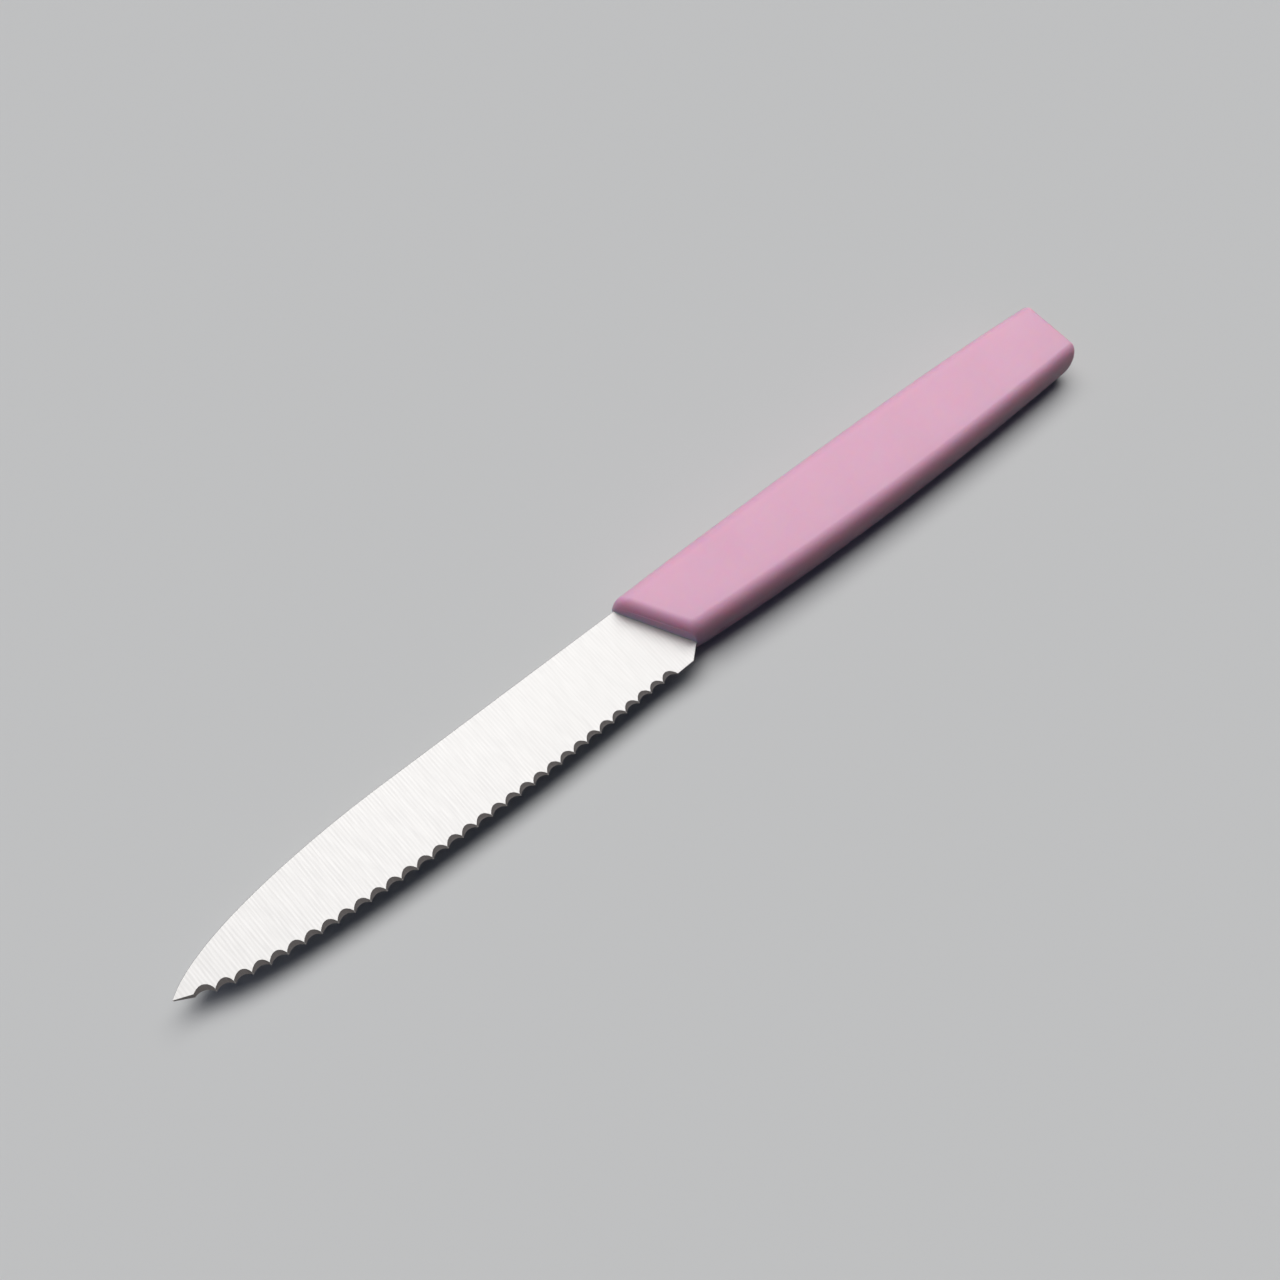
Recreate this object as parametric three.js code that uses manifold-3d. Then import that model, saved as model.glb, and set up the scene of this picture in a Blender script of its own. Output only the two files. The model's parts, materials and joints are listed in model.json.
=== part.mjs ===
// A fruit knife with a serrated blade and a moulded plastic handle, lying on its side.
// Sizes are in millimetres. The tip points to -X, the cutting edge to -Y, and +Z is up.
// While it is drawn, x runs from the tip to the butt, y = 0 is the blade's straight spine
// and z = 0 is the middle of the steel.

import * as THREE from 'three';
import { mergeVertices } from 'three/addons/utils/BufferGeometryUtils.js';
import Module from 'manifold-3d';

// Blade
const BLADE_LENGTH = 100; // tip to handle, along the spine
const BLADE_WIDTH = 17.92; // spine to the straight edge at the heel
const SPINE_THICKNESS = 1.2;
const EDGE_THICKNESS = 0.3; // at the heel
const TIP_DROP = 8.33; // tip below the line of the spine
const SPINE_CURVE = 46; // length over which the spine comes down to the tip
const SPINE_CURVE_START = 14.8; // reach of the curve's control point on the straight spine
const SPINE_TIP_REACH = 9.6; // reach of the curve's control point at the tip
const SPINE_TIP_ANGLE = 43.4; // degrees between the spine and the X axis at the tip
const PLAIN_TIP = 3.62; // straight smooth edge between the tip and the first scallop
const PLAIN_TIP_ANGLE = 29.8; // degrees between that edge and the X axis
const BELLY_END = 72.2; // where the rising part of the cutting edge ends, measured from the tip
const BELLY_END_REACH = 4;
const BELLY_TIP_REACH = 10.4;
const BELLY_TIP_ANGLE = 39.8;
const CHOIL_ANGLE = 40.5; // degrees, slope behind the heel
const HEEL_PLAIN = 3.5; // least smooth edge between the last scallop and the heel's corner

// Scallops ground into the cutting edge from the upper side
const SCALLOP_START = 1.77; // end of the plain tip to the middle of the first scallop
const SCALLOP_PITCH = 3.0665;
const SCALLOP_RADIUS = 2.2;
const SCALLOP_DEPTH = 1.71; // from the blank's edge, on the upper side
const SCALLOP_TILT = 60; // degrees between the grinding direction and the Z axis

// Tang inside the handle
const TANG_WIDTH = 9;
const TANG_LENGTH = 74; // handle front to the tang's end, along the spine
const TANG_SHOULDER = 6; // how far the blade's full width goes into the handle
const TANG_HOLE_RADIUS = 2.6;
const TANG_HOLE_PITCH = 26;
const TANG_HOLE_COUNT = 2;

// Handle
const HANDLE_LENGTH = 121.3; // front corner to butt corner, along the spine side
const HANDLE_THICKNESS = 10.4;
const SPINE_LIP = 1.22; // handle above the line of the blade's spine
const SPINE_SIDE_DROP = 2.6; // how far the spine side comes down towards the butt
const SPINE_SIDE_START_REACH = 25.7;
const SPINE_SIDE_END_REACH = 40;
const SPINE_SIDE_END_ANGLE = 4.4;
const FRONT_WIDTH = 17.04; // spine side to edge side, measured along Y
const BUTT_WIDTH = 16.9;
const EDGE_SIDE_REACH = 36.5;
const EDGE_SIDE_START_ANGLE = 5.2;
const EDGE_SIDE_END_ANGLE = 1.8;
const FRONT_SLANT = 27.5; // degrees between the handle's front and the Y axis
const BUTT_SLANT = 6;
const FRONT_SIDE_ROUND = 3.5; // how far the rounded sides reach past the flat faces
const BUTT_SIDE_ROUND = 2.6;
const FRONT_TOP_ROUND = 2.3;
const FRONT_SPINE_ROUND = 1.9;
const FRONT_EDGE_ROUND = 0.35;
const BUTT_REACH = 2.2; // how far the rounded butt reaches past the flat faces
const BUTT_TOP_ROUND = 4.2; // how far the flat faces come down over it
const BUTT_SPINE_ROUND = 1.1;
const BUTT_EDGE_ROUND = 1.1;
const MOUTH_WALL = 0.2; // plastic beside the steel at the front corner

// Fit of the plastic round the steel
const CLEARANCE = 0.3;

// Fineness of the curved faces
const CURVE_STEPS = 24;
const SCALLOP_SIDES = 24;
const SIDE_STEPS = 16;
const ROUND_STEPS = 6;
const BODY_STEPS = 14;
const MERGE_DISTANCE = 1e-4;

const radians = THREE.MathUtils.degToRad;
const point = (x, y) => new THREE.Vector2(x, y);
const wasm = await Module();
wasm.setup();

// A closed three.js geometry as a solid that can be joined and cut.
function toSolid(geometry) {
  const bare = geometry.index ? geometry.toNonIndexed() : geometry.clone();
  bare.deleteAttribute('normal');
  bare.deleteAttribute('uv');
  const merged = mergeVertices(bare, MERGE_DISTANCE);
  return new wasm.Manifold(new wasm.Mesh({
    numProp: 3,
    vertProperties: new Float32Array(merged.attributes.position.array),
    triVerts: new Uint32Array(merged.index.array),
  }));
}

function toMesh(name, solid, material) {
  const { vertProperties, triVerts } = solid.getMesh();
  const geometry = new THREE.BufferGeometry();
  geometry.setAttribute('position', new THREE.BufferAttribute(vertProperties, 3));
  geometry.setIndex(new THREE.BufferAttribute(triVerts, 1));
  geometry.computeVertexNormals();
  const mesh = new THREE.Mesh(geometry, material);
  mesh.name = name;
  return mesh;
}

// The handle's front is an upright slanted plane through the end of the visible spine.
const frontX = (y) => BLADE_LENGTH - y * Math.tan(radians(FRONT_SLANT));

// Long sides of the handle, seen from above, each from front to butt.
function spineSide() {
  const start = point(frontX(SPINE_LIP), SPINE_LIP);
  const end = point(start.x + HANDLE_LENGTH, SPINE_LIP - SPINE_SIDE_DROP);
  const rise = SPINE_SIDE_END_REACH * Math.tan(radians(SPINE_SIDE_END_ANGLE));
  return new THREE.CubicBezierCurve(
    start,
    point(start.x + SPINE_SIDE_START_REACH, start.y),
    point(end.x - SPINE_SIDE_END_REACH, end.y + rise),
    end,
  );
}

function edgeSide() {
  const startY = SPINE_LIP - FRONT_WIDTH;
  const start = point(frontX(startY), startY);
  const corner = spineSide().v3;
  const end = point(corner.x - BUTT_WIDTH * Math.tan(radians(BUTT_SLANT)), corner.y - BUTT_WIDTH);
  const fallStart = EDGE_SIDE_REACH * Math.tan(radians(EDGE_SIDE_START_ANGLE));
  const fallEnd = EDGE_SIDE_REACH * Math.tan(radians(EDGE_SIDE_END_ANGLE));
  return new THREE.CubicBezierCurve(
    start,
    point(start.x + EDGE_SIDE_REACH, start.y - fallStart),
    point(end.x - EDGE_SIDE_REACH, end.y - fallEnd),
    end,
  );
}

// The choil slopes from the heel up to the handle's front corner and on to the tang.
function choilX(y, grow) {
  const angle = radians(CHOIL_ANGLE);
  const mouthY = SPINE_LIP - FRONT_WIDTH + MOUTH_WALL + CLEARANCE;
  return frontX(mouthY) + (y - mouthY) / Math.tan(angle) + grow / Math.sin(angle);
}

// The rising part of the blank's cutting edge, from the plain tip to the straight part.
function bellyCurve() {
  const plain = radians(PLAIN_TIP_ANGLE);
  const angle = radians(BELLY_TIP_ANGLE);
  const start = point(PLAIN_TIP * Math.cos(plain), -TIP_DROP - PLAIN_TIP * Math.sin(plain));
  return new THREE.CubicBezierCurve(
    start,
    point(start.x + BELLY_TIP_REACH * Math.cos(angle), start.y - BELLY_TIP_REACH * Math.sin(angle)),
    point(BELLY_END - BELLY_END_REACH, -BLADE_WIDTH),
    point(BELLY_END, -BLADE_WIDTH),
  );
}

function spineCurve() {
  const angle = radians(SPINE_TIP_ANGLE);
  const tip = point(0, -TIP_DROP);
  return new THREE.CubicBezierCurve(
    point(SPINE_CURVE, 0),
    point(SPINE_CURVE - SPINE_CURVE_START, 0),
    point(SPINE_TIP_REACH * Math.cos(angle), tip.y + SPINE_TIP_REACH * Math.sin(angle)),
    tip,
  );
}

// The tang lies in the middle of the handle's front and has a round end.
const tangMiddle = SPINE_LIP - FRONT_WIDTH / 2;

function tangEnd() {
  return point(BLADE_LENGTH + TANG_LENGTH - TANG_WIDTH / 2, tangMiddle);
}

// Draws from the heel up the choil into the handle, round the tang and back to the spine.
function drawTang(shape, grow) {
  const halfWidth = TANG_WIDTH / 2 + grow;
  const bottom = tangMiddle - halfWidth;
  const end = tangEnd();
  const shoulderX = BLADE_LENGTH + TANG_SHOULDER + grow;
  const heelY = -BLADE_WIDTH - grow;
  shape.lineTo(choilX(heelY, grow), heelY);
  shape.lineTo(choilX(bottom, grow), bottom);
  shape.lineTo(end.x, bottom);
  shape.absarc(end.x, end.y, halfWidth, -Math.PI / 2, Math.PI / 2, false);
  shape.lineTo(shoulderX, tangMiddle + halfWidth);
  shape.lineTo(shoulderX, grow);
}

function addTangHoles(shape, grow) {
  const end = tangEnd();
  for (let i = 0; i < TANG_HOLE_COUNT; i += 1) {
    const hole = new THREE.Path();
    hole.absarc(end.x - i * TANG_HOLE_PITCH, end.y, TANG_HOLE_RADIUS - grow, 0, 2 * Math.PI, true);
    shape.holes.push(hole);
  }
}

// The steel blank before the scallops are ground.
function blankShape() {
  const shape = new THREE.Shape();
  const belly = bellyCurve();
  shape.moveTo(0, -TIP_DROP);
  shape.lineTo(belly.v0.x, belly.v0.y);
  shape.curves.push(belly);
  shape.currentPoint.copy(belly.v3);
  drawTang(shape, 0);
  shape.lineTo(SPINE_CURVE, 0);
  shape.curves.push(spineCurve());
  addTangHoles(shape, 0);
  return shape;
}

// The room that the steel takes in the plastic. It starts well in front of the handle.
function pocketShape() {
  const shape = new THREE.Shape();
  const startX = frontX(SPINE_LIP) - BLADE_WIDTH;
  shape.moveTo(startX, CLEARANCE);
  shape.lineTo(startX, -BLADE_WIDTH - CLEARANCE);
  drawTang(shape, CLEARANCE);
  addTangHoles(shape, CLEARANCE);
  return shape;
}

// Half the plate's thickness, which shrinks from the spine to the edge.
function halfThickness(y, grow) {
  const thinning = (SPINE_THICKNESS - EDGE_THICKNESS) / 2 / BLADE_WIDTH;
  return SPINE_THICKNESS / 2 + grow + y * thinning;
}

// A plate of the given outline, ground thinner from the spine to the edge on both faces.
// The stock is thicker than the plate, and the wedge is longer at both ends.
function groundPlate(shape, grow) {
  const stock = 2 * (SPINE_THICKNESS + grow);
  const plate = new THREE.ExtrudeGeometry(shape, {
    depth: stock,
    bevelEnabled: false,
    curveSegments: CURVE_STEPS,
  });
  plate.translate(0, 0, -stock / 2);
  const spineY = 2 * CLEARANCE;
  const edgeY = -BLADE_WIDTH - 2 * CLEARANCE;
  const section = new THREE.Shape([
    point(edgeY, -halfThickness(edgeY, grow)),
    point(spineY, -halfThickness(spineY, grow)),
    point(spineY, halfThickness(spineY, grow)),
    point(edgeY, halfThickness(edgeY, grow)),
  ]);
  const length = 2 * (BLADE_LENGTH + TANG_LENGTH);
  const wedge = new THREE.ExtrudeGeometry(section, { depth: length, bevelEnabled: false });
  const axes = new THREE.Matrix4().makeBasis(
    new THREE.Vector3(0, 1, 0),
    new THREE.Vector3(0, 0, 1),
    new THREE.Vector3(1, 0, 0),
  );
  wedge.applyMatrix4(axes);
  wedge.translate(-length / 4, 0, 0);
  return toSolid(plate).intersect(toSolid(wedge));
}

// Point and direction on the blank's cutting edge at a distance from the plain tip.
function edgeAt(distance) {
  const belly = bellyCurve();
  const bellyReach = belly.getLength();
  if (distance < bellyReach) {
    const share = distance / bellyReach;
    return { at: belly.getPointAt(share), along: belly.getTangentAt(share) };
  }
  return { at: point(BELLY_END + distance - bellyReach, -BLADE_WIDTH), along: point(1, 0) };
}

// On the upper side a tilted round cut is an ellipse, which reaches deeper than its radius.
const scallopReach = SCALLOP_RADIUS / Math.cos(radians(SCALLOP_TILT));
const scallopOutside = scallopReach - SCALLOP_DEPTH;
const scallopHalfChord = SCALLOP_RADIUS * Math.sqrt(1 - (scallopOutside / scallopReach) ** 2);

// As many scallops as fit between the plain tip and the plain heel.
function scallopCount() {
  const straight = choilX(-BLADE_WIDTH, 0) - BELLY_END;
  const room = bellyCurve().getLength() + straight - HEEL_PLAIN - SCALLOP_START - scallopHalfChord;
  return 1 + Math.floor(room / SCALLOP_PITCH);
}

// One grinding cut: a round bar that leans in over the upper side of the blade.
function scallopCut(index) {
  const tilt = radians(SCALLOP_TILT);
  const { at, along } = edgeAt(SCALLOP_START + index * SCALLOP_PITCH);
  const inward = new THREE.Vector3(-along.y, along.x, 0);
  const axis = inward.clone().multiplyScalar(Math.sin(tilt));
  axis.z = Math.cos(tilt);
  const bar = new THREE.CylinderGeometry(
    SCALLOP_RADIUS,
    SCALLOP_RADIUS,
    2 * (SPINE_THICKNESS + 2 * SCALLOP_RADIUS) / Math.cos(tilt),
    SCALLOP_SIDES,
  );
  bar.applyQuaternion(new THREE.Quaternion().setFromUnitVectors(new THREE.Vector3(0, 1, 0), axis));
  const centre = new THREE.Vector3(at.x, at.y, halfThickness(at.y, 0));
  centre.addScaledVector(inward, -scallopOutside);
  bar.translate(centre.x, centre.y, centre.z);
  return toSolid(bar);
}

function makeBlade() {
  let blade = groundPlate(blankShape(), 0);
  const count = scallopCount();
  for (let i = 0; i < count; i += 1) {
    blade = blade.subtract(scallopCut(i));
  }
  const steel = new THREE.MeshStandardMaterial({
    name: 'ground_steel',
    color: 0xe6e4e0,
    roughness: 0.35,
    metalness: 1,
  });
  return toMesh('blade', blade, steel);
}

// A closed ring of points round the handle: flat faces between two half-ellipse sides.
// The insets draw the ring in at the edge side, at the spine side and at the flat faces.
function handleRing(share, edgeInset, spineInset, faceInset) {
  const edgePoint = edgeSide().getPointAt(share);
  const across = spineSide().getPointAt(share).sub(edgePoint);
  const width = across.length();
  across.normalize();
  const halfHeight = HANDLE_THICKNESS / 2 - faceInset;
  const fullRound = THREE.MathUtils.lerp(FRONT_SIDE_ROUND, BUTT_SIDE_ROUND, share);
  const round = fullRound * halfHeight / (HANDLE_THICKNESS / 2);
  const ring = [];
  const addSide = (middle, startAngle) => {
    for (let i = 0; i <= SIDE_STEPS; i += 1) {
      const angle = startAngle + Math.PI * i / SIDE_STEPS;
      const u = middle + round * Math.cos(angle);
      const z = halfHeight * Math.sin(angle);
      ring.push(new THREE.Vector3(edgePoint.x + across.x * u, edgePoint.y + across.y * u, z));
    }
  };
  addSide(width - spineInset - round, -Math.PI / 2);
  addSide(edgeInset + round, Math.PI / 2);
  return ring;
}

// Rings from the front face over its rounded rim, along the body and over the butt's rim.
function handleRings() {
  const frontShare = FRONT_TOP_ROUND / HANDLE_LENGTH;
  const buttShare = BUTT_REACH / HANDLE_LENGTH;
  const rings = [];
  const addRing = (share, turn, edgeRound, spineRound, faceRound) => {
    const draw = 1 - Math.cos(turn);
    rings.push(handleRing(share, edgeRound * draw, spineRound * draw, faceRound * draw));
  };
  for (let i = ROUND_STEPS; i > 0; i -= 1) {
    const turn = (i / ROUND_STEPS) * Math.PI / 2;
    const share = frontShare * (1 - Math.sin(turn));
    addRing(share, turn, FRONT_EDGE_ROUND, FRONT_SPINE_ROUND, FRONT_TOP_ROUND);
  }
  for (let i = 0; i <= BODY_STEPS; i += 1) {
    addRing(THREE.MathUtils.lerp(frontShare, 1 - buttShare, i / BODY_STEPS), 0, 0, 0, 0);
  }
  for (let i = 1; i <= ROUND_STEPS; i += 1) {
    const turn = (i / ROUND_STEPS) * Math.PI / 2;
    const share = 1 - buttShare * (1 - Math.sin(turn));
    addRing(share, turn, BUTT_EDGE_ROUND, BUTT_SPINE_ROUND, BUTT_TOP_ROUND);
  }
  return rings;
}

// A closed skin over the rings, with a flat face at the front and at the butt.
function loft(rings) {
  const count = rings[0].length;
  const positions = [];
  const triangle = (a, b, c) => positions.push(...a.toArray(), ...b.toArray(), ...c.toArray());
  for (let r = 0; r + 1 < rings.length; r += 1) {
    for (let i = 0; i < count; i += 1) {
      const next = (i + 1) % count;
      triangle(rings[r][i], rings[r][next], rings[r + 1][next]);
      triangle(rings[r][i], rings[r + 1][next], rings[r + 1][i]);
    }
  }
  const front = rings[0];
  const butt = rings[rings.length - 1];
  for (let i = 1; i + 1 < count; i += 1) {
    triangle(front[0], front[i + 1], front[i]);
    triangle(butt[0], butt[i], butt[i + 1]);
  }
  const geometry = new THREE.BufferGeometry();
  geometry.setAttribute('position', new THREE.Float32BufferAttribute(positions, 3));
  return geometry;
}

function makeHandle() {
  const body = toSolid(loft(handleRings()));
  const handle = body.subtract(groundPlate(pocketShape(), CLEARANCE));
  const plastic = new THREE.MeshStandardMaterial({
    name: 'pink_plastic',
    color: 0xdaaec3,
    roughness: 0.5,
    metalness: 0,
  });
  return toMesh('handle', handle, plastic);
}

// The finished knife rests on the handle's flat face, with the origin under its middle.
const knife = new THREE.Group();
knife.name = 'fruit_knife';
knife.add(makeBlade(), makeHandle());
const extent = new THREE.Box3().setFromObject(knife);
const middle = extent.getCenter(new THREE.Vector3());
knife.position.set(-middle.x, -middle.y, -extent.min.z);

export default knife;
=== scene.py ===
"""Looks of a fruit knife: a ground steel blade and a moulded pink handle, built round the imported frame.

Both pieces are modelled again as finer meshes. They are drawn in metres, with x from the tip towards
the butt, y = 0 on the straight spine and z = 0 in the middle of the steel, and then set in the frame.
"""

import json
import math
from bisect import bisect_right
from collections import namedtuple
from math import radians

import bmesh
import bpy
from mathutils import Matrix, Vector
from mathutils.geometry import delaunay_2d_cdt, interpolate_bezier

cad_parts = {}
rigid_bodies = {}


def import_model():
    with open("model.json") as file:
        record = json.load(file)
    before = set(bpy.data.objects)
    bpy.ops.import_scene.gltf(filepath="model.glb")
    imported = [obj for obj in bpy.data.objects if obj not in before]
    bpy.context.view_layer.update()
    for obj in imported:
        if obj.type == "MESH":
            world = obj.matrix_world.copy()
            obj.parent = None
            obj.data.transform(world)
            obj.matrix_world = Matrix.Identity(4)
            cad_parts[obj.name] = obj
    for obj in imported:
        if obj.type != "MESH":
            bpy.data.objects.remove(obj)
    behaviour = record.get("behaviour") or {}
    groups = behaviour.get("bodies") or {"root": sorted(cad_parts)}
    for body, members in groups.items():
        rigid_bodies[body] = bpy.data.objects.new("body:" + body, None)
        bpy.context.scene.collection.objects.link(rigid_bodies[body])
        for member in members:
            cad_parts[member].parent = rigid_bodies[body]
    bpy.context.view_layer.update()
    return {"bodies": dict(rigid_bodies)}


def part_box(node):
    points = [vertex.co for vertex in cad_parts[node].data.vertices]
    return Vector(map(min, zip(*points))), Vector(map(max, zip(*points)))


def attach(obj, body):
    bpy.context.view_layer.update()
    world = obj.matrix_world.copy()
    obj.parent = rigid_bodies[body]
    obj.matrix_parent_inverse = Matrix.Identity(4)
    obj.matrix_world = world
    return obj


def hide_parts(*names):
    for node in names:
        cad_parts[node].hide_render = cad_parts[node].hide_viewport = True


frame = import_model()

MM = 0.001

# Sizes taken from the frame
blade_low, blade_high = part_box("blade")
handle_low, handle_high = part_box("handle")
BODY = next(iter(frame["bodies"]))
DRAWING_ORIGIN = Vector((blade_low.x, blade_high.y, (blade_low.z + blade_high.z) / 2))
BLADE_WIDTH = blade_high.y - blade_low.y
SPINE_THICKNESS = blade_high.z - blade_low.z
HANDLE_THICKNESS = handle_high.z - handle_low.z

# Blade. A reach is the length of a Bezier curve's handle at the end that it is named for.
BLADE_LENGTH = 100 * MM  # tip to handle, along the spine
EDGE_THICKNESS = 0.3 * MM  # at the heel
TIP_DROP = 8.33 * MM  # tip below the line of the spine
SPINE_CURVE = 46 * MM  # length over which the spine comes down to the tip
SPINE_STRAIGHT_REACH = 14.8 * MM
SPINE_TIP_REACH = 9.6 * MM
SPINE_TIP_ANGLE = radians(43.4)
PLAIN_TIP = 3.62 * MM  # straight smooth edge between the tip and the first scallop
PLAIN_TIP_ANGLE = radians(29.8)
BELLY_END = 72.2 * MM  # where the rising part of the cutting edge ends, measured from the tip
BELLY_END_REACH = 4 * MM
BELLY_TIP_REACH = 10.4 * MM
BELLY_TIP_ANGLE = radians(39.8)
CHOIL_ANGLE = radians(40.5)
HEEL_PLAIN = 3.5 * MM  # least smooth edge between the last scallop and the heel's corner
EDGE_BREAK = 0.1 * MM  # worn edge along the spine, heel and choil
FINE_BREAK = 0.015 * MM  # crisp edge round the scallops
LEAST_MITRE = 0.5  # a break draws a sharp corner in by no more than twice its size

# Scallops ground into the cutting edge from the upper side
SCALLOP_START = 1.77 * MM  # end of the plain tip to the middle of the first scallop
SCALLOP_PITCH = 3.0665 * MM
SCALLOP_LAND = 0.09 * MM  # narrow ridge left between two scallops
FIRST_SCALLOP_SHIFT = 0.5 * MM  # the first one is ground a little nearer to the tip, and so is wider
SCALLOP_RADIUS = 2.2 * MM
SCALLOP_REACH = 4.4 * MM  # the round cut drawn out by its slant to the upper side
SCALLOP_DEPTH = 1.71 * MM  # from the blank's edge, on the upper side
SLOPE_MIDDLE = 0.86 * MM  # width of the ground slope in the middle of a scallop
SLOPE_CUSP = 0.41 * MM  # and at the ridges

# Tang inside the handle
TANG_WIDTH = 9 * MM
TANG_LENGTH = blade_high.x - blade_low.x - BLADE_LENGTH
TANG_SHOULDER = 6 * MM
TANG_HOLE_RADIUS = 2.6 * MM
TANG_HOLE_PITCH = 26 * MM
TANG_HOLE_COUNT = 2
FIT = 0.03 * MM  # room between the moulded plastic and the steel

# Handle
HANDLE_LENGTH = 121.3 * MM  # front corner to butt corner, along the spine side
SPINE_LIP = 1.22 * MM  # handle above the line of the blade's spine
SPINE_SIDE_DROP = 2.6 * MM
SPINE_SIDE_START_REACH = 25.7 * MM
SPINE_SIDE_END_REACH = 40 * MM
SPINE_SIDE_END_ANGLE = radians(4.4)
FRONT_WIDTH = 17.04 * MM
BUTT_WIDTH = 16.9 * MM
EDGE_SIDE_REACH = 36.5 * MM  # at both ends
EDGE_SIDE_START_ANGLE = radians(5.2)
EDGE_SIDE_END_ANGLE = radians(1.8)
FRONT_SLANT = radians(27.5)
BUTT_SLANT = radians(6)
MOUTH_INSET = 0.5 * MM  # from the handle's front corner to the choil
FRONT_SIDE_ROUND = 3.5 * MM  # how far the rounded sides reach past the flat faces
BUTT_SIDE_ROUND = 2.6 * MM
FRONT_LEDGE = 0.06 * MM  # how far the flat front stands out from the round above it
BEAD_HEIGHT = 0.12 * MM  # raised parting line at half the handle's thickness, at the front
BEAD_FAINT = 0.012 * MM  # what is left of it along the sides
BEAD_FADE = 14 * MM  # over which it fades
BEAD_HALF_WIDTH = 0.13 * MM
SIDE_MARGIN = 0.01 * MM  # keeps these finer curves within the frame's facets

# How the handle rounds off at an end: depth along the handle, then how far it draws in at the
# two sides and at the faces, and the corner rounds that are left at the sides
Rim = namedtuple("Rim", "depth edge spine edge_face spine_face edge_corner spine_corner")
FRONT_RIM = Rim(
    depth=2.3 * MM,
    edge=0.35 * MM,
    spine=1.9 * MM,
    edge_face=2.15 * MM,
    spine_face=2.6 * MM,
    edge_corner=1.6 * MM,
    spine_corner=2.6 * MM,
)
BUTT_RIM = Rim(
    depth=2.2 * MM,
    edge=1.1 * MM,
    spine=1.1 * MM,
    edge_face=4.2 * MM,
    spine_face=4.2 * MM,
    edge_corner=0.6 * MM,
    spine_corner=0.6 * MM,
)

# Fineness of the meshes
CURVE_STEPS = 160
SPINE_STEPS = 48
SCALLOP_STEPS = 20
ARC_STEPS = 24
CORNER_STEPS = 14
BEAD_STEPS = 4
RIM_STEPS = 12
BODY_STEPS = 72
SMOOTH_ANGLE = radians(28)
FILL_INSIDE = 1  # Blender's number for a filling that keeps only what lies inside the outlines
FILL_TOLERANCE = 1e-5  # in millimetres

# Camera of the photograph
CAMERA_EYE = DRAWING_ORIGIN + Vector((41.32, -76.00, 173.74)) * MM
CAMERA_PITCH = radians(62.62)  # downwards from the horizon
CAMERA_AZIMUTH = radians(40.80)  # from +Y towards +X
FOCAL_PIXELS = 1023
IMAGE_PIXELS = 1280
SENSOR_WIDTH = 36  # the camera's own unit, millimetres
NEAR_CLIP = 1 * MM

# Colours, linear
PINK = (0.865, 0.480, 0.640, 1)
PINK_SHADE = (0.845, 0.464, 0.622, 1)
STEEL_LIGHT = (0.426, 0.418, 0.411, 1)
STEEL_DARK = (0.405, 0.397, 0.391, 1)
# The scallops' steel is painted far darker than the blade's. This is painted shade for the dark
# surroundings that these hollows mirror. The mix between the two colours follows the scallops' own grinding
# marks.
SCALLOP_PAINTED_SHADE_LIGHT = (0.228, 0.211, 0.207, 1)
SCALLOP_PAINTED_SHADE_DARK = (0.124, 0.113, 0.110, 1)
FLOOR_PALE = (0.67, 0.67, 0.66, 1)  # as it is seen and mirrored
FLOOR_BOUNCE = (0.05, 0.05, 0.05, 1)  # as it lights the knife from below
WHITE = (1, 1, 1, 1)

# Finish of the steel. Texture scales are per metre.
GRIND_FAN = radians(5)  # lean of the grinding lines at the tip
GRIND_DRAW = 0.03  # the scale along the lines, as a share of the scale across them
GRIND_SCALE = 6000
GRIND_WAVE_SCALE = 480
GRIND_WAVE_DISTORTION = 2.5
GRIND_WAVE_SHARE = 0.25  # the rest is fine noise
GRIND_LOW = 0.25  # the pattern's value in the darkest lines
GRIND_HIGH = 0.75  # and in the lightest
GRIND_ROUGH = 0.47
GRIND_SMOOTH = 0.43
GRIND_BUMP = 0.05
SCALLOP_DRAW = 0.1
SCALLOP_MARK_SCALE = 9000
SCALLOP_ROUGH = 0.5
SCALLOP_SMOOTH = 0.38
SCALLOP_BUMP = 0.2

# Finish of the plastic
CLOUD_SCALE = 90
GRAIN_SCALE = 3500
PLASTIC_ROUGH = 0.44
PLASTIC_SMOOTH = 0.37
PLASTIC_BUMP = 0.08
PLASTIC_SPECULAR = 0.35
SCATTER_WEIGHT = 0.8
SCATTER_RADIUS = (1.0, 0.08, 0.16)  # red light spreads furthest under the surface
SCATTER_SCALE = 5 * MM

# Finish of both
NOISE_LOW = 0.3  # most of a noise lies between these two
NOISE_HIGH = 0.7
BUMP_HEIGHT = 0.01 * MM

# Studio light
PANEL_RADIANCE = 3.55
PANEL_MIDDLE = (0.40, 0.43)  # places and sizes on a ceiling one metre up
PANEL_HALF = (0.96, 0.39)
PANEL_BLUR = 0.35
LEAST_RISE = 0.001  # directions below this height are taken to be this high
SURROUND_PALE = 0.56  # the room past the panel, as it is seen and mirrored
SURROUND_FILL = 0.01  # and as it lights the surfaces
COOL_LIGHT = (0.03, 0.06, 0.15, 1)  # faint light from the tip's end
FLOOR_SIZE = 30.0
FLOOR_DROP = 0.05 * MM


class Curve:
    """A cubic Bezier curve whose points are found by their distance along it."""

    def __init__(self, start, start_handle, end_handle, end):
        self.points = interpolate_bezier(start, start_handle, end_handle, end, CURVE_STEPS + 1)
        self.reach = [0.0]
        for before, after in zip(self.points, self.points[1:]):
            self.reach.append(self.reach[-1] + (after - before).length)
        self.length = self.reach[-1]

    def at(self, distance):
        """The point and the direction at a distance from the start."""
        step = min(max(bisect_right(self.reach, distance), 1), CURVE_STEPS)
        before, after = self.points[step - 1], self.points[step]
        share = (distance - self.reach[step - 1]) / (self.reach[step] - self.reach[step - 1])
        return before.lerp(after, share), (after - before).normalized()


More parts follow.
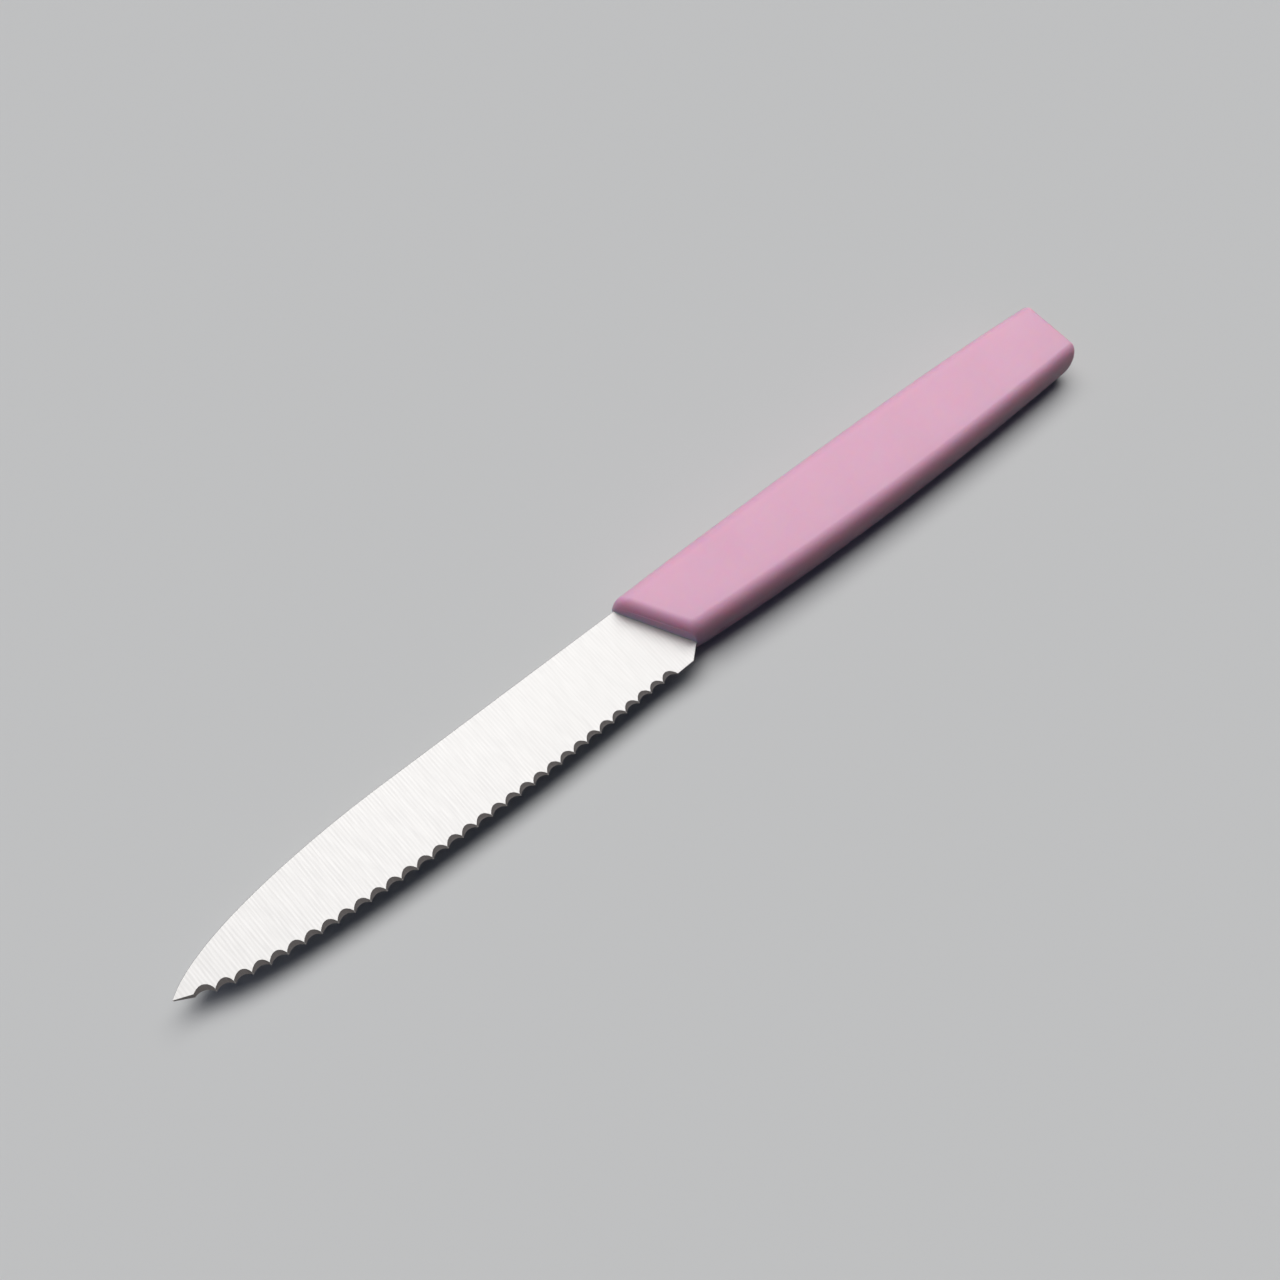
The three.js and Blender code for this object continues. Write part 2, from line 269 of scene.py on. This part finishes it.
def lerp(a, b, share):
    return a + (b - a) * share


def point(x, y):
    return Vector((x, y))


def polar(length, angle):
    return Vector((length * math.cos(angle), length * math.sin(angle)))


def left_of(direction):
    return Vector((-direction.y, direction.x))


# Blade outline

# A point of a plate's outline on its two faces, the size of its edge break, and whether the wall
# that starts there is ground
Corner = namedtuple("Corner", "upper lower edge_break ground")


def plain_corners(points, edge_break):
    return [Corner(p, p, edge_break, False) for p in points]


def front_x(y):
    """The handle's front, an upright slanted plane through the end of the visible spine."""
    return BLADE_LENGTH - y * math.tan(FRONT_SLANT)


def choil_x(y, grow):
    """The choil, sloping from the heel up to the handle's front corner and on to the tang."""
    mouth_y = SPINE_LIP - FRONT_WIDTH + MOUTH_INSET
    return front_x(mouth_y) + (y - mouth_y) / math.tan(CHOIL_ANGLE) + grow / math.sin(CHOIL_ANGLE)


def make_belly():
    """The rising part of the cutting edge, as it is before the scallops are ground."""
    start = point(0, -TIP_DROP) + polar(PLAIN_TIP, -PLAIN_TIP_ANGLE)
    end = point(BELLY_END, -BLADE_WIDTH)
    return Curve(
        start, start + polar(BELLY_TIP_REACH, -BELLY_TIP_ANGLE), end - point(BELLY_END_REACH, 0), end
    )


BELLY = make_belly()

# The upper rim of a scallop is part of an ellipse whose middle lies outside the blade
SCALLOP_OUTSIDE = SCALLOP_REACH - SCALLOP_DEPTH
CUSP_TURN = math.asin((SCALLOP_PITCH - SCALLOP_LAND) / 2 / SCALLOP_RADIUS)
END_TURN = math.acos(SCALLOP_OUTSIDE / SCALLOP_REACH)
CUSP_DEPTH = SCALLOP_REACH * math.cos(CUSP_TURN) - SCALLOP_OUTSIDE


def edge_at(distance):
    """Point and direction on the blank's cutting edge at a distance from the plain tip."""
    if distance < BELLY.length:
        return BELLY.at(distance)
    return point(BELLY_END + distance - BELLY.length, -BLADE_WIDTH), point(1, 0)


def scallop_corners(centre, last_turn, shift):
    """One scallop from its left to its right end. The last wall is the ridge to the next one.

    A shift moves its left end and its middle towards the tip.
    """
    at, along = edge_at(centre)
    inward = left_of(along)
    corners = []
    for i in range(SCALLOP_STEPS + 1):
        turn = lerp(-CUSP_TURN, last_turn, i / SCALLOP_STEPS)
        moved = shift * min(1 - math.sin(turn) / math.sin(CUSP_TURN), 1)
        rim = at + along * (SCALLOP_RADIUS * math.sin(turn) - moved)
        depth = SCALLOP_REACH * math.cos(turn) - SCALLOP_OUTSIDE
        slope = lerp(SLOPE_CUSP, SLOPE_MIDDLE, (depth - CUSP_DEPTH) / (SCALLOP_DEPTH - CUSP_DEPTH))
        lower = rim + inward * max(depth - slope, 0)
        corners.append(Corner(rim + inward * depth, lower, FINE_BREAK, i < SCALLOP_STEPS))
    return corners


def serrated_edge():
    """As many scallops as fit between the plain tip and the plain heel."""
    straight = choil_x(-BLADE_WIDTH, 0) - BELLY_END
    half_chord = SCALLOP_RADIUS * math.sin(END_TURN)
    room = BELLY.length + straight - HEEL_PLAIN - SCALLOP_START - half_chord
    last = int(room / SCALLOP_PITCH)
    edge = []
    for i in range(last + 1):
        last_turn = END_TURN if i == last else CUSP_TURN
        shift = FIRST_SCALLOP_SHIFT if i == 0 else 0
        edge += scallop_corners(SCALLOP_START + i * SCALLOP_PITCH, last_turn, shift)
    return edge


TANG_MIDDLE = SPINE_LIP - FRONT_WIDTH / 2
TANG_END = point(BLADE_LENGTH + TANG_LENGTH - TANG_WIDTH / 2, TANG_MIDDLE)


def back_points(grow):
    """From the heel up the choil, round the tang and back to the spine."""
    half_width = TANG_WIDTH / 2 + grow
    bottom = TANG_MIDDLE - half_width
    heel_y = -BLADE_WIDTH - grow
    shoulder_x = BLADE_LENGTH + TANG_SHOULDER + grow
    points = [point(choil_x(heel_y, grow), heel_y), point(choil_x(bottom, grow), bottom)]
    for i in range(ARC_STEPS + 1):
        turn = lerp(-math.pi / 2, math.pi / 2, i / ARC_STEPS)
        points.append(TANG_END + polar(half_width, turn))
    points.append(point(shoulder_x, TANG_MIDDLE + half_width))
    points.append(point(shoulder_x, grow))
    return points


def tang_holes(grow):
    """The lock holes of the tang, clockwise."""
    turns = [-math.pi * i / ARC_STEPS for i in range(2 * ARC_STEPS)]
    holes = []
    for i in range(TANG_HOLE_COUNT):
        centre = TANG_END - point(i * TANG_HOLE_PITCH, 0)
        holes.append([centre + polar(TANG_HOLE_RADIUS - grow, turn) for turn in turns])
    return holes


def spine_points():
    """The curved spine, from its straight part to just before the tip."""
    tip = point(0, -TIP_DROP)
    start = point(SPINE_CURVE, 0)
    curve = interpolate_bezier(
        start,
        start - point(SPINE_STRAIGHT_REACH, 0),
        tip + polar(SPINE_TIP_REACH, SPINE_TIP_ANGLE),
        tip,
        SPINE_STEPS + 1,
    )
    return curve[:-1]


def blade_outline():
    """Anticlockwise from the tip, along the cutting edge and back along the spine.

    The ground slope of the scallops runs on along the plain tip and narrows to nothing at its point.
    """
    tip = point(0, -TIP_DROP)
    outline = [Corner(tip, tip, FINE_BREAK, True)]
    return outline + serrated_edge() + plain_corners(back_points(0) + spine_points(), EDGE_BREAK)


def pocket_outline():
    """The room for the blade in the handle, open well past the handle's front."""
    start_x = front_x(SPINE_LIP) - BLADE_WIDTH
    points = [point(start_x, FIT), point(start_x, -BLADE_WIDTH - FIT)]
    return plain_corners(points + back_points(FIT), 0)


# Plates: the blade itself and the room that it takes in the handle


def inset(loop, amounts):
    """A closed outline drawn in by an amount at each point."""
    drawn = []
    for i, here in enumerate(loop):
        before = left_of((here - loop[i - 1]).normalized())
        after = left_of((loop[(i + 1) % len(loop)] - here).normalized())
        middle = (before + after).normalized()
        drawn.append(here + middle * (amounts[i] / max(middle.dot(before), LEAST_MITRE)))
    return drawn


def half_thickness(y, grow):
    """Half of a plate's thickness, which is full on the spine and least at the heel."""
    return SPINE_THICKNESS / 2 + grow + y * (SPINE_THICKNESS - EDGE_THICKNESS) / 2 / BLADE_WIDTH


def place(drawn, z):
    """A drawn point in the frame."""
    return DRAWING_ORIGIN + Vector((drawn.x, drawn.y, z))


def stitch(mesh, rows, closed):
    """Faces between each row of vertices and the next."""
    faces = []
    for first, second in zip(rows, rows[1:]):
        last = len(first) if closed else len(first) - 1
        for i in range(last):
            after = (i + 1) % len(first)
            faces.append(mesh.faces.new((first[i], first[after], second[after], second[i])))
    return faces


def rim_rows(mesh, outline, grow):
    """Rings of a plate's rim: upper face, upper wall, lower wall and lower face."""
    breaks = [corner.edge_break for corner in outline]
    uppers = [corner.upper for corner in outline]
    lowers = [corner.lower for corner in outline]
    rings = [
        [place(p, half_thickness(p.y, grow)) for p in inset(uppers, breaks)],
        [place(p, half_thickness(p.y, grow) - b) for p, b in zip(uppers, breaks)],
        [place(p, b - half_thickness(p.y, grow)) for p, b in zip(lowers, breaks)],
        [place(p, -half_thickness(p.y, grow)) for p in inset(lowers, breaks)],
    ]
    if not any(breaks):
        rings = [rings[0], rings[-1]]
    return [[mesh.verts.new(p) for p in ring] for ring in rings]


def fill_face(mesh, loops):
    """Triangles over a flat face inside its first ring of vertices and outside the other rings."""
    corners = [vertex for loop in loops for vertex in loop]
    owners = [number for number, loop in enumerate(loops) for vertex in loop]
    edges = []
    for loop in loops:
        first = len(edges)
        edges += [(first + i, first + (i + 1) % len(loop)) for i in range(len(loop))]
    flat = [vertex.co.xy / MM for vertex in corners]
    _, _, triangles, *_ = delaunay_2d_cdt(flat, edges, [], FILL_INSIDE, FILL_TOLERANCE)
    for triangle in triangles:
        in_hole = all(owners[i] == owners[triangle[0]] > 0 for i in triangle)
        if not in_hole:
            mesh.faces.new([corners[i] for i in triangle])


def make_plate(name, outline, holes, grow):
    """A closed plate, thinner towards the cutting edge. Its ground walls take the second material."""
    mesh = bmesh.new()
    rims = []
    for loop in [outline] + [plain_corners(hole, outline[-1].edge_break) for hole in holes]:
        rows = rim_rows(mesh, loop, grow)
        walls = stitch(mesh, rows, True)
        for i, face in enumerate(walls):
            face.material_index = int(loop[i % len(loop)].ground)
        rims.append(rows)
    for upper_or_lower in (0, -1):
        fill_face(mesh, [rows[upper_or_lower] for rows in rims])
    bmesh.ops.recalc_face_normals(mesh, faces=mesh.faces)
    return finish_mesh(name, mesh)


def finish_mesh(name, mesh):
    """A smooth object with sharp edges wherever its faces meet at a clear angle."""
    for face in mesh.faces:
        face.smooth = True
    for edge in mesh.edges:
        edge.smooth = edge.calc_face_angle(math.pi) < SMOOTH_ANGLE
    data = bpy.data.meshes.new(name)
    mesh.to_mesh(data)
    mesh.free()
    return add_object(name, data)


def add_object(name, data):
    added = bpy.data.objects.new(name, data)
    bpy.context.scene.collection.objects.link(added)
    return added


# Handle


def make_spine_side():
    """The handle's long side next to the spine, from the front to the butt."""
    start = point(front_x(SPINE_LIP), SPINE_LIP)
    end = start + point(HANDLE_LENGTH, -SPINE_SIDE_DROP)
    rise = SPINE_SIDE_END_REACH * math.tan(SPINE_SIDE_END_ANGLE)
    return Curve(
        start,
        start + point(SPINE_SIDE_START_REACH, 0),
        end + point(-SPINE_SIDE_END_REACH, rise),
        end,
    )


def make_edge_side(spine_side):
    """The handle's long side next to the cutting edge, from the front to the butt."""
    start_y = SPINE_LIP - FRONT_WIDTH
    start = point(front_x(start_y), start_y)
    end = spine_side.points[-1] - point(BUTT_WIDTH * math.tan(BUTT_SLANT), BUTT_WIDTH)
    fall_start = EDGE_SIDE_REACH * math.tan(EDGE_SIDE_START_ANGLE)
    fall_end = EDGE_SIDE_REACH * math.tan(EDGE_SIDE_END_ANGLE)
    return Curve(
        start,
        start + point(EDGE_SIDE_REACH, -fall_start),
        end - point(EDGE_SIDE_REACH, fall_end),
        end,
    )


SPINE_SIDE = make_spine_side()
EDGE_SIDE = make_edge_side(SPINE_SIDE)

# The parting line's section: places across it and how far it stands out there, as shares
BEAD_TURNS = [math.pi * i / BEAD_STEPS for i in range(BEAD_STEPS + 1)]
BEAD_PROFILE = [(math.cos(turn), math.sin(turn)) for turn in BEAD_TURNS]


def handle_section(low, high, edge_round, spine_round, bead):
    """A section of the handle as (across, up) pairs, from the spine side over the top and back below.

    The sides are half ellipses, and the raised parting line runs along their middles.
    """
    half = HANDLE_THICKNESS / 2
    section = []
    for quarter in range(4):
        edge_side = quarter in (1, 2)
        reach = edge_round if edge_side else spine_round
        middle = low + reach if edge_side else high - reach
        for i in range(CORNER_STEPS):
            # The point in the middle of a side gives way to the parting line
            step = i + 1 if quarter in (0, 2) else i
            turn = (quarter + step / CORNER_STEPS) * math.pi / 2
            section.append(point(middle + reach * math.cos(turn), half * math.sin(turn)))
        if quarter == 1:
            section += [point(low - bead * s, BEAD_HALF_WIDTH * c) for c, s in BEAD_PROFILE]
        if quarter == 3:
            section += [point(high + bead * s, -BEAD_HALF_WIDTH * c) for c, s in BEAD_PROFILE]
    return section


def handle_ring(share, draw, rim):
    """Points round the handle at a share of its length. draw is 0 on the body and 1 at an end face."""
    edge_point = EDGE_SIDE.at(share * EDGE_SIDE.length)[0]
    across = SPINE_SIDE.at(share * SPINE_SIDE.length)[0] - edge_point
    width = across.length
    side_round = lerp(FRONT_SIDE_ROUND, BUTT_SIDE_ROUND, share)
    bead = lerp(BEAD_HEIGHT, BEAD_FAINT, min(share * HANDLE_LENGTH / BEAD_FADE, 1))
    section = handle_section(
        SIDE_MARGIN + bead + rim.edge * draw,
        width - SIDE_MARGIN - bead - rim.spine * draw,
        lerp(side_round, rim.edge_corner, draw),
        lerp(side_round, rim.spine_corner, draw),
        bead,
    )
    ring = []
    for u, z in section:
        face_inset = draw * lerp(rim.edge_face, rim.spine_face, u / width)
        squeeze = 1 - face_inset / (HANDLE_THICKNESS / 2)
        ring.append(place(edge_point + across * (u / width), z * squeeze))
    return ring


def handle_rings():
    """From the proud front face over its rim, along the body and over the butt's rim."""
    front_share = FRONT_RIM.depth / HANDLE_LENGTH
    butt_share = BUTT_RIM.depth / HANDLE_LENGTH
    turns = [math.pi / 2 * i / RIM_STEPS for i in range(1, RIM_STEPS + 1)]
    rings = []
    for turn in reversed(turns):
        rings.append(handle_ring(front_share * (1 - math.sin(turn)), 1 - math.cos(turn), FRONT_RIM))
    for i in range(BODY_STEPS + 1):
        rings.append(handle_ring(lerp(front_share, 1 - butt_share, i / BODY_STEPS), 0, FRONT_RIM))
    for turn in turns:
        share = 1 - butt_share * (1 - math.sin(turn)) - BEAD_FAINT / HANDLE_LENGTH
        rings.append(handle_ring(share, 1 - math.cos(turn), BUTT_RIM))
    forward = Vector((-math.cos(FRONT_SLANT), -math.sin(FRONT_SLANT), 0))
    return [[p + forward * FRONT_LEDGE for p in rings[0]]] + rings


def close_butt(mesh, ring):
    """The butt's flat face as columns across it, with the parting line running over its middle."""
    top = ring[: 2 * CORNER_STEPS]
    rest = ring[len(top) :]
    edge_bead, rest = rest[: len(BEAD_PROFILE)], rest[len(BEAD_PROFILE) :]
    bottom = list(reversed(rest[: len(top)]))
    spine_bead = list(reversed(rest[len(top) :]))
    columns = []
    for upper, lower in zip(top, bottom):
        middle = upper.co.lerp(lower.co, 0.5)
        bead = []
        for c, s in BEAD_PROFILE:
            bead.append(middle + Vector((BEAD_FAINT * s, 0, BEAD_HALF_WIDTH * c)))
        columns.append([upper, bead, lower])
    columns[0][1] = spine_bead
    columns[-1][1] = edge_bead
    for column in columns[1:-1]:
        column[1] = [mesh.verts.new(p) for p in column[1]]
    stitch(mesh, [[upper, *bead, lower] for upper, bead, lower in columns], False)


def make_handle_body():
    mesh = bmesh.new()
    rows = [[mesh.verts.new(p) for p in ring] for ring in handle_rings()]
    stitch(mesh, rows, True)
    mesh.faces.new(rows[0])
    close_butt(mesh, rows[-1])
    bmesh.ops.recalc_face_normals(mesh, faces=mesh.faces)
    return finish_mesh("handle_body", mesh)


def make_handle():
    """The moulded body with the pocket that the blade fills."""
    body = make_handle_body()
    pocket = make_plate("pocket", pocket_outline(), tang_holes(FIT), FIT)
    cut = body.modifiers.new("pocket", "BOOLEAN")
    cut.operation = "DIFFERENCE"
    cut.solver = "EXACT"
    cut.object = pocket
    evaluated = body.evaluated_get(bpy.context.evaluated_depsgraph_get())
    mesh = bmesh.new()
    mesh.from_mesh(evaluated.to_mesh())
    handle = finish_mesh("moulded_handle", mesh)
    for spare in (body, pocket):
        bpy.data.objects.remove(spare)
    return handle


# Materials


class Graph:
    """Short calls that add and join the nodes of one material or of the world."""

    def __init__(self, owner):
        owner.use_nodes = True
        self.nodes = owner.node_tree.nodes
        self.links = owner.node_tree.links

    def add(self, kind, inputs=(), **settings):
        node = self.nodes.new(kind)
        for name, value in settings.items():
            setattr(node, name, value)
        for name, value in dict(inputs).items():
            self.set(node, name, value)
        return node

    def set(self, node, name, value):
        self.feed(node.inputs[name], value)

    def feed(self, socket, value):
        """Joins a socket to another node's output, or gives it a value of its own."""
        if isinstance(value, bpy.types.NodeSocket):
            self.links.new(value, socket)
        else:
            socket.default_value = value

    def coordinates(self, kind):
        return self.add("ShaderNodeTexCoord").outputs[kind]

    def split(self, vector):
        return self.add("ShaderNodeSeparateXYZ", {0: vector}).outputs

    def combine(self, x, y, z):
        return self.add("ShaderNodeCombineXYZ", {0: x, 1: y, 2: z}).outputs[0]

    def math(self, operation, *values):
        return self.add("ShaderNodeMath", enumerate(values), operation=operation).outputs[0]

    def remap(self, value, low, high, new_low, new_high, **settings):
        inputs = {0: value, 1: low, 2: high, 3: new_low, 4: new_high}
        return self.add("ShaderNodeMapRange", inputs, **settings).outputs[0]

    def mix(self, share, first, second):
        """A mix of two colours. Its sockets for other kinds of data share these names, but are disabled."""
        inputs = {"Factor": share, "A": first, "B": second}
        node = self.add("ShaderNodeMix", data_type="RGBA")
        for socket in node.inputs:
            if socket.enabled and socket.name in inputs:
                self.feed(socket, inputs[socket.name])
        return next(out for out in node.outputs if out.enabled)

    def noise(self, vector, scale, detail):
        inputs = {"Vector": vector, "Scale": scale, "Detail": detail}
        return self.add("ShaderNodeTexNoise", inputs).outputs[0]

    def bump(self, height, strength):
        inputs = {"Height": height, "Strength": strength, "Distance": BUMP_HEIGHT}
        return self.add("ShaderNodeBump", inputs).outputs[0]


def start_material(name):
    """A new material, the graph of its nodes and its shader."""
    material = bpy.data.materials.new(name)
    graph = Graph(material)
    return material, graph, graph.nodes["Principled BSDF"]


def steel_lines(graph):
    """Coordinates for the lines of the cross grinding, which fan out a little towards the tip."""
    x, y, z = graph.split(graph.coordinates("Object"))
    handle_x = blade_low.x + BLADE_LENGTH
    lean = graph.remap(x, blade_low.x, handle_x, math.tan(GRIND_FAN), 0)
    across = graph.math("MULTIPLY_ADD", y, lean, x)
    drawn_out = graph.math("MULTIPLY", y, GRIND_DRAW)
    return graph.combine(across, drawn_out, z)


def grinding_pattern(graph):
    """Fine lines of uneven noise with some even waves among them."""
    lines = steel_lines(graph)
    fine = graph.noise(lines, GRIND_SCALE, detail=1)
    wave_inputs = {
        "Vector": lines,
        "Scale": GRIND_WAVE_SCALE,
        "Distortion": GRIND_WAVE_DISTORTION,
        "Detail": 1,
    }
    waves = graph.add("ShaderNodeTexWave", wave_inputs).outputs["Fac"]
    even = graph.math("MULTIPLY", waves, GRIND_WAVE_SHARE)
    return graph.math("MULTIPLY_ADD", fine, 1 - GRIND_WAVE_SHARE, even)


def blade_steel():
    material, graph, shader = start_material("cross_ground_steel")
    pattern = grinding_pattern(graph)
    shade = graph.remap(pattern, GRIND_LOW, GRIND_HIGH, 0, 1)
    roughness = graph.remap(pattern, NOISE_LOW, NOISE_HIGH, GRIND_ROUGH, GRIND_SMOOTH)
    graph.set(shader, "Base Color", graph.mix(shade, STEEL_DARK, STEEL_LIGHT))
    graph.set(shader, "Roughness", roughness)
    graph.set(shader, "Metallic", 1)
    graph.set(shader, "Normal", graph.bump(pattern, GRIND_BUMP))
    return material


def painted_dark_scallop_steel():
    material, graph, shader = start_material("scallop_steel_painted_dark")
    x, _, z = graph.split(graph.coordinates("Object"))
    lines = graph.combine(x, graph.math("MULTIPLY", z, SCALLOP_DRAW), 0)
    marks = graph.noise(lines, SCALLOP_MARK_SCALE, detail=2)
    roughness = graph.remap(marks, NOISE_LOW, NOISE_HIGH, SCALLOP_ROUGH, SCALLOP_SMOOTH)
    # Painted shade: a base far darker than the blade's steel, standing in for the dark room mirrored in the
    # scallops, varied by the grinding marks
    graph.set(shader, "Base Color", graph.mix(marks, SCALLOP_PAINTED_SHADE_DARK, SCALLOP_PAINTED_SHADE_LIGHT))
    graph.set(shader, "Roughness", roughness)
    graph.set(shader, "Metallic", 1)
    graph.set(shader, "Normal", graph.bump(marks, SCALLOP_BUMP))
    return material


def pink_plastic():
    material, graph, shader = start_material("pink_moulded_plastic")
    place_in_frame = graph.coordinates("Object")
    clouds = graph.noise(place_in_frame, CLOUD_SCALE, detail=2)
    grain = graph.noise(place_in_frame, GRAIN_SCALE, detail=2)
    shade = graph.remap(clouds, NOISE_LOW, NOISE_HIGH, 0, 1)
    roughness = graph.remap(grain, NOISE_LOW, NOISE_HIGH, PLASTIC_ROUGH, PLASTIC_SMOOTH)
    graph.set(shader, "Base Color", graph.mix(shade, PINK_SHADE, PINK))
    graph.set(shader, "Roughness", roughness)
    graph.set(shader, "Normal", graph.bump(grain, PLASTIC_BUMP))
    graph.set(shader, "Specular IOR Level", PLASTIC_SPECULAR)
    graph.set(shader, "Subsurface Weight", SCATTER_WEIGHT)
    graph.set(shader, "Subsurface Radius", SCATTER_RADIUS)
    graph.set(shader, "Subsurface Scale", SCATTER_SCALE)
    return material


# Studio


def seen_share(graph):
    """1 for what the camera sees, also in a reflection or through glass, and 0 for diffuse light."""
    rays = graph.add("ShaderNodeLightPath").outputs
    mirrored = graph.math("MAXIMUM", rays["Is Glossy Ray"], rays["Is Transmission Ray"])
    return graph.math("MAXIMUM", rays["Is Camera Ray"], mirrored)


def make_floor():
    data = bpy.data.meshes.new("floor")
    half = FLOOR_SIZE / 2
    corners = [(-half, -half), (half, -half), (half, half), (-half, half)]
    data.from_pydata([(x, y, -FLOOR_DROP) for x, y in corners], [], [(0, 1, 2, 3)])
    floor = add_object("floor", data)
    material, graph, shader = start_material("pale_floor")
    graph.set(shader, "Base Color", graph.mix(seen_share(graph), FLOOR_BOUNCE, FLOOR_PALE))
    graph.set(shader, "Roughness", 1)
    graph.set(shader, "Specular IOR Level", 0)
    data.materials.append(material)


def panel_share(graph, x, y, z):
    """1 in the directions of the panel and 0 past its blurred edges."""
    height = graph.math("MAXIMUM", z, LEAST_RISE)
    past_edges = []
    for across, middle, half in zip((x, y), PANEL_MIDDLE, PANEL_HALF):
        off = graph.math("SUBTRACT", graph.math("DIVIDE", across, height), middle)
        past_edges.append(graph.math("SUBTRACT", graph.math("ABSOLUTE", off), half))
    past_edge = graph.math("MAXIMUM", *past_edges)
    blur = PANEL_BLUR / 2
    return graph.remap(past_edge, blur, -blur, 0, 1, interpolation_type="SMOOTHSTEP")


def make_world():
    """A long soft panel over the knife, a little to the spine's side, in a pale room."""
    world = bpy.data.worlds.new("studio")
    bpy.context.scene.world = world
    graph = Graph(world)
    x, y, z = graph.split(graph.coordinates("Generated"))
    seen = seen_share(graph)
    surround = graph.remap(seen, 0, 1, SURROUND_FILL, SURROUND_PALE)
    reach = graph.math("SUBTRACT", PANEL_RADIANCE, surround)
    strength = graph.math("MULTIPLY_ADD", panel_share(graph, x, y, z), reach, surround)
    white = graph.nodes["Background"]
    graph.set(white, "Color", WHITE)
    graph.set(white, "Strength", strength)
    tip_end = graph.math("MAXIMUM", graph.math("MULTIPLY", x, -1), 0)
    unseen = graph.math("SUBTRACT", 1, seen)
    cool_inputs = {"Color": COOL_LIGHT, "Strength": graph.math("MULTIPLY", tip_end, unseen)}
    cool = graph.add("ShaderNodeBackground", cool_inputs)
    both = graph.add("ShaderNodeAddShader", {0: white.outputs[0], 1: cool.outputs[0]})
    graph.set(graph.nodes["World Output"], "Surface", both.outputs[0])


def make_camera():
    data = bpy.data.cameras.new("camera")
    data.sensor_width = SENSOR_WIDTH
    data.lens = SENSOR_WIDTH * FOCAL_PIXELS / IMAGE_PIXELS
    data.clip_start = NEAR_CLIP
    camera = add_object("camera", data)
    camera.location = CAMERA_EYE
    camera.rotation_euler = (math.pi / 2 - CAMERA_PITCH, 0, -CAMERA_AZIMUTH)
    bpy.context.scene.camera = camera


blade = make_plate("ground_blade", blade_outline(), tang_holes(0), 0)
blade.data.materials.append(blade_steel())
blade.data.materials.append(painted_dark_scallop_steel())
handle = make_handle()
handle.data.materials.append(pink_plastic())
for piece, node, slot in ((blade, "blade", "blade_steel"), (handle, "handle", "handle_plastic")):
    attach(piece, BODY)
    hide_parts(node)
make_floor()
make_world()
make_camera()
bpy.context.scene.view_settings.view_transform = "Standard"
